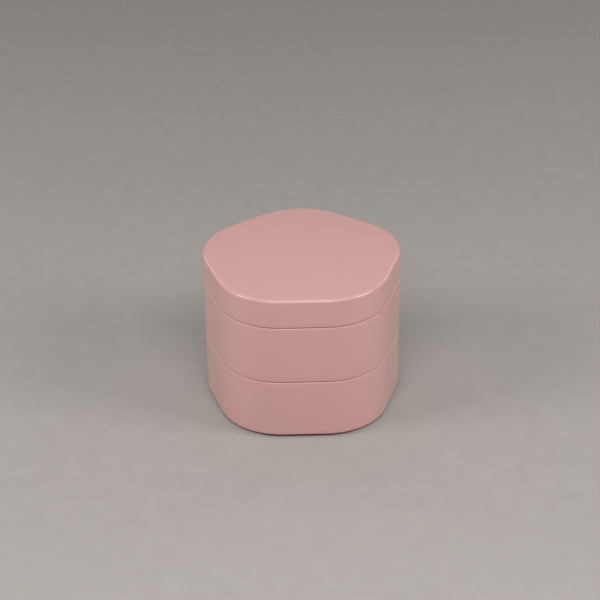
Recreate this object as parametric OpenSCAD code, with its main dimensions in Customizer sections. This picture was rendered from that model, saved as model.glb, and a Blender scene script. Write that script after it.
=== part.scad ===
// Stacking box: two tiers and a lid, all flush, on a pentagon with large round corners.
// The back corner points along +Y and a flat side faces the front, along -Y.
// The origin is on the surface that the box stands on, below the middle of its width and depth.

/* [Outline] */
// Width of the box over its two widest corners
box_width = 150; // [130:1:170]
// Outside radius of each round corner
corner_radius = 49.2; // [42:0.1:55]

/* [Tiers] */
// Height of the wall of one tier
tier_height = 46.5; // [30:0.5:70]
// Thickness of the wall of one tier
tier_wall = 4; // [3.5:0.1:6]
// Thickness of the floor board of one tier
floor_thickness = 3.5; // [2.5:0.1:6]
// How far the floor board is let into the wall
floor_rebate = 2; // [1:0.1:2.5]

/* [Feet] */
// Height of the foot under each tier, which the lowest wall stands off the table by
foot_height = 2.4; // [1.6:0.1:4]
// Width of the foot ring, from its outside to its inside
foot_width = 6; // [3:0.5:10]

/* [Lid] */
// Height of the lid above the rim that it rests on
lid_height = 23.3; // [16:0.1:40]
// Thickness of the lid's top board
top_thickness = 4; // [3:0.1:6]
// Rounding of the lid's upper edge
top_round = 2.3; // [1:0.1:2.8]
// Thickness of the locating lip inside the lid
lip_wall = 2.5; // [2:0.1:4]
// How far the locating lip drops into the tier below
lip_drop = 3; // [1.5:0.1:5]

/* [Fits] */
// Clearance all round between a foot or lip and the wall that it drops into
stack_gap = 0.5; // [0.3:0.05:0.8]
// Glue line round a board or lip that is set inside a wall
glue_line = 0.1; // [0.05:0.05:0.2]

/* [Hidden] */
$fn = 144;
lacquer = [0.80, 0.57, 0.55];

// The outline is five corner arcs, joined by five flat sides
corners = 5;
corner_step = 360 / corners;
corner_reach = (box_width / 2 - corner_radius) / sin(corner_step);
side_reach = corner_reach * cos(corner_step / 2);
side_length = 2 * corner_reach * sin(corner_step / 2);
// The flat sides lie this much inside the corner arcs, so that the two cross and never just touch
side_relief = 0.02;
// The rounded edge of the top runs into the flat beside it at this slight angle, so that it ends in a
// clean line
edge_angle = 20;
// The widest corners are in front of the back corner, so the middle of the depth is not at their centre
depth_shift = (side_reach - corner_reach) / 2;
// How far a cut runs on past the faces that it opens
overcut = 1;

// Heights of the lower edges of the walls
lower_level = foot_height;
upper_level = lower_level + tier_height;
lid_level = upper_level + tier_height;
lid_top = lid_level + lid_height;

// Insets, each measured from the outside of the walls
board_inset = tier_wall - floor_rebate + glue_line;
foot_inset = tier_wall + stack_gap;
lid_inset = foot_inset - glue_line;

// Copies the children to the centre of each corner arc, turned to face outwards
module at_corners() {
    for (i = [0 : corners - 1])
        rotate(90 + i * corner_step)
            translate([corner_reach, 0])
                children();
}

// Copies the children to the middle of each flat side, turned to face outwards
module at_sides() {
    for (i = [0 : corners - 1])
        rotate(90 + (i + 0.5) * corner_step)
            children();
}

// The flat outline of the box, moved inwards by an inset
module outline(inset) {
    at_corners()
        circle(corner_radius - inset);
    at_sides()
        translate([0, -side_length / 2])
            square([side_reach + corner_radius - inset - side_relief, side_length]);
}

// A straight-walled solid of that outline
module slab(inset, height) {
    linear_extrude(height)
        outline(inset);
}

// A solid that follows the outline, from the half section that its children draw for the corners
// (child 0) and for the sides (child 1)
module follow_outline() {
    at_corners()
        rotate_extrude()
            children(0);
    at_sides()
        translate([0, side_length / 2, 0])
            rotate([90, 0, 0])
                linear_extrude(side_length)
                    children(1);
}

// What rounding takes off the outer corner of a section
module corner_waste(radius) {
    difference() {
        square(radius + overcut);
        circle(radius);
    }
}

// Half section of a board, from x = 0 out to its reach, with a rounded upper edge
module rounded_section(reach, height, radius) {
    difference() {
        square([reach, height]);
        translate([reach - radius, height - radius * cos(edge_angle)])
            corner_waste(radius);
    }
}

// A board of the outline with a rounded upper edge
module rounded_slab(inset, height, radius) {
    reach = corner_radius - inset;
    follow_outline() {
        rounded_section(reach, height, radius);
        rounded_section(side_reach + reach - side_relief, height, radius);
    }
}

// A straight-walled ring of the outline, from an outer inset in to an inner one
module ring(outer_inset, inner_inset, height) {
    difference() {
        slab(outer_inset, height);
        translate([0, 0, -overcut])
            slab(inner_inset, height + 2 * overcut);
    }
}

// The wall of one tier, with a rebate below for the floor board
module tier_side_ring() {
    difference() {
        slab(0, tier_height);
        translate([0, 0, floor_thickness - overcut])
            slab(tier_wall, tier_height + overcut);
        translate([0, 0, -overcut])
            slab(tier_wall - floor_rebate, floor_thickness + overcut);
    }
}

// The floor of one tier, flush with the lower edge of the wall
module tier_floor_board() {
    slab(board_inset, floor_thickness);
}

// The foot under one tier, which drops into the mouth of the tier below
module tier_foot_ring() {
    translate([0, 0, -foot_height])
        ring(foot_inset, foot_inset + foot_width, foot_height);
}

// Puts a piece at its height, in the box's own frame and colour
module placed(level) {
    color(lacquer)
        translate([0, depth_shift, level])
            children();
}

module lower_foot_ring() {
    placed(lower_level)
        tier_foot_ring();
}

module lower_floor_board() {
    placed(lower_level)
        tier_floor_board();
}

module lower_side_ring() {
    placed(lower_level)
        tier_side_ring();
}

module upper_foot_ring() {
    placed(upper_level)
        tier_foot_ring();
}

module upper_floor_board() {
    placed(upper_level)
        tier_floor_board();
}

module upper_side_ring() {
    placed(upper_level)
        tier_side_ring();
}

// The lip lines the lid's wall from the top board down, and locates the lid in the tier below
module lid_lip_ring() {
    placed(lid_level - lip_drop)
        ring(foot_inset, foot_inset + lip_wall, lid_height - top_thickness + lip_drop);
}

module lid_side_ring() {
    placed(lid_level)
        ring(0, lid_inset, lid_height - top_thickness);
}

module lid_top_board() {
    placed(lid_top - top_thickness)
        rounded_slab(0, top_thickness, top_round);
}

lid_top_board();
lid_side_ring();
lid_lip_ring();
upper_side_ring();
upper_floor_board();
upper_foot_ring();
lower_side_ring();
lower_floor_board();
lower_foot_ring();
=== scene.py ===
"""Looks for a stacking lacquer box: a lacquer skin for each CAD node, a plain studio and the camera."""
import math

import bpy
from mathutils import Matrix, Vector


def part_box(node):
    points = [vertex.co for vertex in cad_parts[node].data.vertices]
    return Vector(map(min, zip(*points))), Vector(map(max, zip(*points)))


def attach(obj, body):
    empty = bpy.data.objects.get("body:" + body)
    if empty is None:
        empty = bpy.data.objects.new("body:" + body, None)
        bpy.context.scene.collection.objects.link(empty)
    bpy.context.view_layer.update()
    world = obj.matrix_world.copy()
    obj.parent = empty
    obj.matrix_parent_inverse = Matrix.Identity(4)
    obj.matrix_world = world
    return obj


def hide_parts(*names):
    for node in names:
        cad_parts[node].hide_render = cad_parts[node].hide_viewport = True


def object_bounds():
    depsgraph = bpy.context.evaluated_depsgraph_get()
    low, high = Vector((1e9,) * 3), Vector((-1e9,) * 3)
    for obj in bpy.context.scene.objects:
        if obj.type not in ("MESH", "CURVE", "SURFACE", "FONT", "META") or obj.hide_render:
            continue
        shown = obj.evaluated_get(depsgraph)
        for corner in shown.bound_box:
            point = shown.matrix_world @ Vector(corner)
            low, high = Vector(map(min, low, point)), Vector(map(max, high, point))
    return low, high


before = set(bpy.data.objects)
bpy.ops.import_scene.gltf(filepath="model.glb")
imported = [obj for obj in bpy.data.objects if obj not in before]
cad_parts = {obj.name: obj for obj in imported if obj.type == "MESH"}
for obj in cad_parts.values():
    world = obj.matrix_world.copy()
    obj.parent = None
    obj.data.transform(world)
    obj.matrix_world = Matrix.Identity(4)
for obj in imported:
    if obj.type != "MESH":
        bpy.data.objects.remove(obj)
cad_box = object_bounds()

# The box is worked out in millimetres, with each inset measured from the outside of its walls.
# The studio, the lights and the camera are in metres.
MM = 0.001

# Sizes of the CAD that the boxes of its nodes don't give
CORNER_RADIUS = 49.2
TIER_WALL = 4.0
FOOT_WIDTH = 6.0
LIP_WALL = 2.5
TOP_ROUND = 2.3
GLUE_LINE = 0.1

# The skins of the walls and the top are drawn in by this much
SKIN_INSET = 0.01
# Height of the fine gap that shows under the outer edge of a wall, which rests further in
SEAM_GAP = 0.62
# How far in the gap reaches under the lid's wall
LID_SEAM_REACH = 2.0
# Width of the strip, outside its floor board, that a tier's wall rests on
TIER_REST_WIDTH = 0.2

# Rounds on edges that the CAD keeps sharp: the upper and lower outer edges of a wall
RIM_ROUND = 0.6
HEM_ROUND = 0.6
# The lower edges of a foot or lip, outside and inside
LEAD_ROUND = 0.6
SOFT_EDGE = 0.25
# Chamfer on the upper inner edge of a tier's wall
MOUTH_CHAMFER = 0.5

# Segments of the meshes: along each corner and each flat side of the outline, round an edge,
# and up a wall
CORNER_SEGMENTS = 56
SIDE_SEGMENTS = 6
EDGE_SEGMENTS = 8
TOP_EDGE_SEGMENTS = 16
TIER_OUTSIDE_SEGMENTS = 12
TIER_INSIDE_SEGMENTS = 8
LID_OUTSIDE_SEGMENTS = 8
# Extra loops on the flat faces of the boards, measured inwards from where each face begins
FLOOR_LOOPS = (4, 20)
TOP_LOOPS = (1.5, 4, 8, 14, 22, 32, 42)
UNDERSIDE_LOOP = 30
# Edges sharper than this aren't smoothed over
SHARP_ANGLE = math.radians(35)

# The outline is five corner arcs, joined by five flat sides. One corner is at the back, so the
# outline's own centre isn't in the middle of its depth.
CORNERS = 5
CORNER_STEP = 2 * math.pi / CORNERS
BACK = math.pi / 2
BOX_WIDTH = (cad_box[1].x - cad_box[0].x) / MM
CORNER_REACH = (BOX_WIDTH / 2 - CORNER_RADIUS) / math.sin(CORNER_STEP)
SIDE_REACH = CORNER_REACH * math.cos(CORNER_STEP / 2)
OUTLINE_CENTRE = (0, (SIDE_REACH - CORNER_REACH) / 2)

# Directions in a profile, as steps of inset and height
OUT = (-1, 0)
IN = (1, 0)
UP = (0, 1)
DOWN = (0, -1)


def levels(node):
    """Heights of a CAD node's lowest and highest points."""
    low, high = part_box(node)
    return low.z / MM, high.z / MM


def inset_of(node):
    """How far the outside of a CAD node lies inside the outside of the walls."""
    low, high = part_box(node)
    return (BOX_WIDTH - (high.x - low.x) / MM) / 2


def around(centre, distance, angle):
    """The point at a distance from a centre, in the direction of an angle."""
    return (centre[0] + distance * math.cos(angle), centre[1] + distance * math.sin(angle))


def graded(start, end, segments):
    """Evenly spaced points strictly between two."""
    return [
        (start[0] + (end[0] - start[0]) * k / segments, start[1] + (end[1] - start[1]) * k / segments)
        for k in range(1, segments)
    ]


def outline_points(inset):
    """Points round the box's outline, moved inwards by an inset, always the same number of them."""
    radius = CORNER_RADIUS - inset
    points = []
    for i in range(CORNERS):
        facing = BACK + i * CORNER_STEP
        centre = around(OUTLINE_CENTRE, CORNER_REACH, facing)
        following = around(OUTLINE_CENTRE, CORNER_REACH, facing + CORNER_STEP)
        for k in range(CORNER_SEGMENTS + 1):
            points.append(around(centre, radius, facing + CORNER_STEP * (k / CORNER_SEGMENTS - 0.5)))
        side = facing + CORNER_STEP / 2
        points += graded(around(centre, radius, side), around(following, radius, side), SIDE_SEGMENTS)
    return points


def rounded(inset, z, radius, start, end, segments=EDGE_SEGMENTS):
    """Profile points round an edge: start and end point away from its sharp corner, along the profile."""
    centre = (inset + radius * (start[0] + end[0]), z + radius * (start[1] + end[1]))
    points = []
    for k in range(segments + 1):
        turn = math.pi / 2 * k / segments
        points.append((
            centre[0] - radius * (end[0] * math.cos(turn) + start[0] * math.sin(turn)),
            centre[1] - radius * (end[1] * math.cos(turn) + start[1] * math.sin(turn)),
        ))
    return points


def tier_wall_profile(tier):
    """The wall of a tier, with a rebate below for its floor board."""
    bottom, top = levels(tier + "_side_ring")
    ledge = levels(tier + "_floor_board")[1]
    rebate = inset_of(tier + "_floor_board") - GLUE_LINE
    rest = rebate - TIER_REST_WIDTH
    hem = rounded(SKIN_INSET, bottom + SEAM_GAP, HEM_ROUND, IN, UP)
    rim = rounded(SKIN_INSET, top, RIM_ROUND, DOWN, IN)
    outside = hem + graded(hem[-1], rim[0], TIER_OUTSIDE_SEGMENTS) + rim
    mouth = (TIER_WALL, top - MOUTH_CHAMFER)
    inside = [(TIER_WALL - MOUTH_CHAMFER, top), mouth]
    inside += graded(mouth, (TIER_WALL, ledge), TIER_INSIDE_SEGMENTS)
    inside += [(TIER_WALL, ledge), (rebate, ledge), (rebate, bottom)]
    return outside + inside + [(rest, bottom), (rest, bottom + SEAM_GAP)]


def floor_board_profile(node):
    """The floor board of a tier."""
    bottom, top = levels(node)
    edge = inset_of(node)
    flat = [(edge + loop, top) for loop in FLOOR_LOOPS]
    return [(edge + FLOOR_LOOPS[-1], bottom), (edge, bottom), (edge, top)] + flat


def locating_ring_profile(node, width):
    """A foot or a lip, which drops into the tier below."""
    bottom, top = levels(node)
    outside = inset_of(node)
    inside = outside + width
    lead = rounded(outside, bottom, LEAD_ROUND, IN, UP)
    return lead + [(outside, top), (inside, top)] + rounded(inside, bottom, SOFT_EDGE, UP, OUT)


def lid_wall_profile(node):
    """The wall of the lid, up to its top board."""
    bottom, top = levels(node)
    inside = inset_of("lid_lip_ring") - GLUE_LINE
    hem = rounded(SKIN_INSET, bottom + SEAM_GAP, HEM_ROUND, IN, UP)
    outside = graded(hem[-1], (SKIN_INSET, top), LID_OUTSIDE_SEGMENTS) + [(SKIN_INSET, top)]
    seam = [(LID_SEAM_REACH, bottom), (LID_SEAM_REACH, bottom + SEAM_GAP)]
    return hem + outside + [(inside, top), (inside, bottom)] + seam


def lid_board_profile(node):
    """The lid's top board, with its rounded upper edge."""
    bottom, top = levels(node)
    edge = rounded(SKIN_INSET, top, TOP_ROUND, DOWN, IN, TOP_EDGE_SEGMENTS)
    flat = [(TOP_ROUND + loop, top) for loop in TOP_LOOPS]
    return [(UNDERSIDE_LOOP, bottom), (SKIN_INSET, bottom)] + edge + flat


def swept(profile, closed):
    """Vertices and faces of a profile swept round the outline. A closed profile makes a ring, and an
    open one a board, with a flat face at each end of the profile."""
    loops = len(profile)
    vertices = [(x * MM, y * MM, z * MM) for inset, z in profile for x, y in outline_points(inset)]
    count = len(vertices) // loops
    faces = []
    for j in range(loops if closed else loops - 1):
        near = j * count
        far = (j + 1) % loops * count
        for i in range(count):
            ahead = (i + 1) % count
            faces.append((near + i, near + ahead, far + ahead, far + i))
    if not closed:
        faces.append(tuple(range(count - 1, -1, -1)))
        faces.append(tuple(range(len(vertices) - count, len(vertices))))
    return vertices, faces


def ring(profile):
    """The shape of a closed profile."""
    return swept(profile, closed=True)


def board(profile):
    """The shape of an open profile."""
    return swept(profile, closed=False)


def add_piece(name, shape, material, body, node):
    """A piece of that shape, which rides on a body and stands for a CAD node."""
    vertices, faces = shape
    mesh = bpy.data.meshes.new(name)
    mesh.from_pydata(vertices, [], faces)
    mesh.validate()
    mesh.shade_smooth()
    mesh.set_sharp_from_angle(angle=SHARP_ANGLE)
    mesh.materials.append(material)
    piece = bpy.data.objects.new(name, mesh)
    bpy.context.scene.collection.objects.link(piece)
    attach(piece, body)
    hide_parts(node)


# Materials, with colours in linear light

PINK = (0.555, 0.312, 0.294)
# How far the colour strays from that, as a share of it
OUTSIDE_CLOUDINESS = 0.012
INSIDE_CLOUDINESS = 0.02
PAPER_DARK = (0.33, 0.307, 0.292, 1)
PAPER_PALE = (0.35, 0.326, 0.31, 1)
# The span of a noise over which the colour changes
TINT_SPAN = (0.3, 0.7)


def set_inputs(node, values):
    """Sets several of a shader node's sockets, by their names."""
    for socket, value in values.items():
        node.inputs[socket].default_value = value


def node_material(name):
    """A new material with a Principled shader, its node tree and that shader."""
    material = bpy.data.materials.new(name)
    material.use_nodes = True
    tree = material.node_tree
    tree.nodes.clear()
    output = tree.nodes.new("ShaderNodeOutputMaterial")
    shader = tree.nodes.new("ShaderNodeBsdfPrincipled")
    tree.links.new(shader.outputs["BSDF"], output.inputs["Surface"])
    return material, tree, shader


def noise(tree, scale, detail, roughness):
    """The output of a noise that is fixed to the piece."""
    place = tree.nodes.new("ShaderNodeTexCoord")
    texture = tree.nodes.new("ShaderNodeTexNoise")
    set_inputs(texture, {"Scale": scale, "Detail": detail, "Roughness": roughness})
    tree.links.new(place.outputs["Object"], texture.inputs["Vector"])
    return texture.outputs["Fac"]


def tint(tree, shader, source, dark, pale):
    """Colours a shader from dark to pale as a noise rises."""
    ramp = tree.nodes.new("ShaderNodeValToRGB")
    first, last = ramp.color_ramp.elements
    first.position, last.position = TINT_SPAN
    first.color = dark
    last.color = pale
    tree.links.new(source, ramp.inputs["Fac"])
    tree.links.new(ramp.outputs["Color"], shader.inputs["Base Color"])


def lacquer(name, cloudiness):
    """Soft satin lacquer: a faint cloudiness of colour, an uneven sheen and a very fine surface ripple."""
    material, tree, shader = node_material(name)
    set_inputs(shader, {"IOR": 1.4, "Coat Weight": 0.6, "Coat Roughness": 0.16, "Coat IOR": 1.45})

    dark = [channel * (1 - cloudiness) for channel in PINK] + [1]
    pale = [channel * (1 + cloudiness) for channel in PINK] + [1]
    tint(tree, shader, noise(tree, scale=28, detail=3, roughness=0.55), dark, pale)

    sheen = tree.nodes.new("ShaderNodeMapRange")
    set_inputs(sheen, {"To Min": 0.36, "To Max": 0.46})
    tree.links.new(noise(tree, scale=90, detail=4, roughness=0.6), sheen.inputs["Value"])
    tree.links.new(sheen.outputs["Result"], shader.inputs["Roughness"])

    ripple = tree.nodes.new("ShaderNodeBump")
    set_inputs(ripple, {"Strength": 0.06, "Distance": 0.0002})
    tree.links.new(noise(tree, scale=900, detail=3, roughness=0.6), ripple.inputs["Height"])
    tree.links.new(ripple.outputs["Normal"], shader.inputs["Normal"])
    return material


def paper(name):
    """Matt, pale grey paper with a faint grain."""
    material, tree, shader = node_material(name)
    set_inputs(shader, {"Roughness": 0.85, "Specular IOR Level": 0.2})
    tint(tree, shader, noise(tree, scale=60, detail=4, roughness=0.6), PAPER_DARK, PAPER_PALE)
    return material


# The box

outer_lacquer = lacquer("pink_lacquer", OUTSIDE_CLOUDINESS)
inner_lacquer = lacquer("pink_lacquer_inside", INSIDE_CLOUDINESS)

lid_top = board(lid_board_profile("lid_top_board"))
add_piece("lid_top_skin", lid_top, outer_lacquer, "lid", "lid_top_board")
lid_wall = ring(lid_wall_profile("lid_side_ring"))
add_piece("lid_wall_skin", lid_wall, outer_lacquer, "lid", "lid_side_ring")
lid_lip = ring(locating_ring_profile("lid_lip_ring", LIP_WALL))
add_piece("lid_lip", lid_lip, inner_lacquer, "lid", "lid_lip_ring")

for tier in ("upper", "lower"):
    body = tier + "_tier"
    wall = ring(tier_wall_profile(tier))
    add_piece(tier + "_wall_skin", wall, outer_lacquer, body, tier + "_side_ring")
    floor_board = board(floor_board_profile(tier + "_floor_board"))
    add_piece(tier + "_floor", floor_board, inner_lacquer, body, tier + "_floor_board")
    foot = ring(locating_ring_profile(tier + "_foot_ring", FOOT_WIDTH))
    add_piece(tier + "_foot", foot, outer_lacquer, body, tier + "_foot_ring")


# The studio

# From the middle of its floor to each edge, and the squares that it has along an edge
FLOOR_REACH = 12.0
FLOOR_SQUARES = 8
# Where the lights point: at the box, or at the floor behind it
BOX_TARGET = (0, 0, 0.06)
REAR_TARGET = (0, 0.3, 0)
# Width and height of the panels at the sides
SIDE_PANEL = (0.5, 0.6)
WHITE = (1, 1, 1)
WARM = (1.0, 0.97, 0.95)
# Where the two lights behind the box stand, on either side
REAR_X = 1.15
REAR_Y = 1.0
REAR_Z = 0.75
REAR_WATTS = 2.8


def studio_floor():
    """A wide paper floor."""
    ticks = [FLOOR_REACH * (2 * i / FLOOR_SQUARES - 1) for i in range(FLOOR_SQUARES + 1)]
    row = len(ticks)
    faces = [
        (j * row + i, j * row + i + 1, (j + 1) * row + i + 1, (j + 1) * row + i)
        for j in range(FLOOR_SQUARES)
        for i in range(FLOOR_SQUARES)
    ]
    mesh = bpy.data.meshes.new("studio_floor")
    mesh.from_pydata([(x, y, 0) for y in ticks for x in ticks], [], faces)
    mesh.materials.append(paper("studio_paper"))
    floor = bpy.data.objects.new("studio_floor", mesh)
    bpy.context.scene.collection.objects.link(floor)


def softbox(name, place, target, panel, watts, colour=WHITE):
    """A soft light: a panel of that width and height, turned to face its target."""
    data = bpy.data.lights.new(name, "AREA")
    data.shape = "RECTANGLE"
    data.size, data.size_y = panel
    data.energy = watts
    data.color = colour
    light = bpy.data.objects.new(name, data)
    light.location = place
    light.rotation_euler = (Vector(target) - Vector(place)).to_track_quat("-Z", "Y").to_euler()
    bpy.context.scene.collection.objects.link(light)


def studio_world():
    """A weak, slightly cool light from all round."""
    world = bpy.data.worlds.new("studio")
    world.use_nodes = True
    set_inputs(world.node_tree.nodes["Background"], {"Color": (0.92, 0.95, 1.0, 1), "Strength": 0.10})
    bpy.context.scene.world = world


studio_floor()
softbox("key_softbox", (0.0, -0.85, 0.98), BOX_TARGET, panel=(0.9, 0.35), watts=10.4)
softbox("left_softbox", (-1.10, -0.35, 0.72), BOX_TARGET, SIDE_PANEL, watts=8.7, colour=WARM)
softbox("right_softbox", (1.10, -0.42, 0.72), BOX_TARGET, SIDE_PANEL, watts=9.3, colour=WARM)
softbox("back_softbox", (0.0, 1.20, 1.30), REAR_TARGET, panel=(1.4, 0.6), watts=3.2)
softbox("left_rear_softbox", (-REAR_X, REAR_Y, REAR_Z), BOX_TARGET, SIDE_PANEL, REAR_WATTS)
softbox("right_rear_softbox", (REAR_X, REAR_Y, REAR_Z), BOX_TARGET, SIDE_PANEL, REAR_WATTS)
studio_world()

view = bpy.context.scene.view_settings
view.view_transform = "Standard"
view.look = "None"
view.exposure = 0.0
view.gamma = 1.0


# The camera, worked out from the photo's outlines and seams

CAMERA_PLACE = (-0.0195, -1.1474, 0.7416)
# Its direction: turned from +Y towards +X, tilted down, and rolled about its own axis
CAMERA_HEADING = math.radians(0.91)
CAMERA_DIP = math.radians(30.14)
CAMERA_ROLL = math.radians(-0.73)
# Focal length and sensor width, in millimetres
CAMERA_LENS = 104.0
CAMERA_SENSOR = 36.0
# How far the picture is shifted, in pixels of the photo, which is this many pixels wide
SHIFT_X_PIXELS = -0.5
SHIFT_Y_PIXELS = 1.7
PHOTO_PIXELS = 600
# The nearest and furthest that it sees
NEAREST = 0.05
FURTHEST = 50.0


def photo_camera():
    """The camera at the photo's viewing angle."""
    forward = Vector((
        math.sin(CAMERA_HEADING) * math.cos(CAMERA_DIP),
        math.cos(CAMERA_HEADING) * math.cos(CAMERA_DIP),
        -math.sin(CAMERA_DIP),
    ))
    right = forward.cross(Vector((0, 0, 1))).normalized()
    turn = Matrix((right, right.cross(forward), -forward)).transposed().to_4x4()
    data = bpy.data.cameras.new("photo_camera")
    data.sensor_width = CAMERA_SENSOR
    data.lens = CAMERA_LENS
    data.shift_x = SHIFT_X_PIXELS / PHOTO_PIXELS
    data.shift_y = SHIFT_Y_PIXELS / PHOTO_PIXELS
    data.clip_start = NEAREST
    data.clip_end = FURTHEST
    camera = bpy.data.objects.new("photo_camera", data)
    camera.matrix_world = Matrix.Translation(CAMERA_PLACE) @ turn @ Matrix.Rotation(CAMERA_ROLL, 4, "Z")
    bpy.context.scene.collection.objects.link(camera)
    return camera


bpy.context.scene.camera = photo_camera()
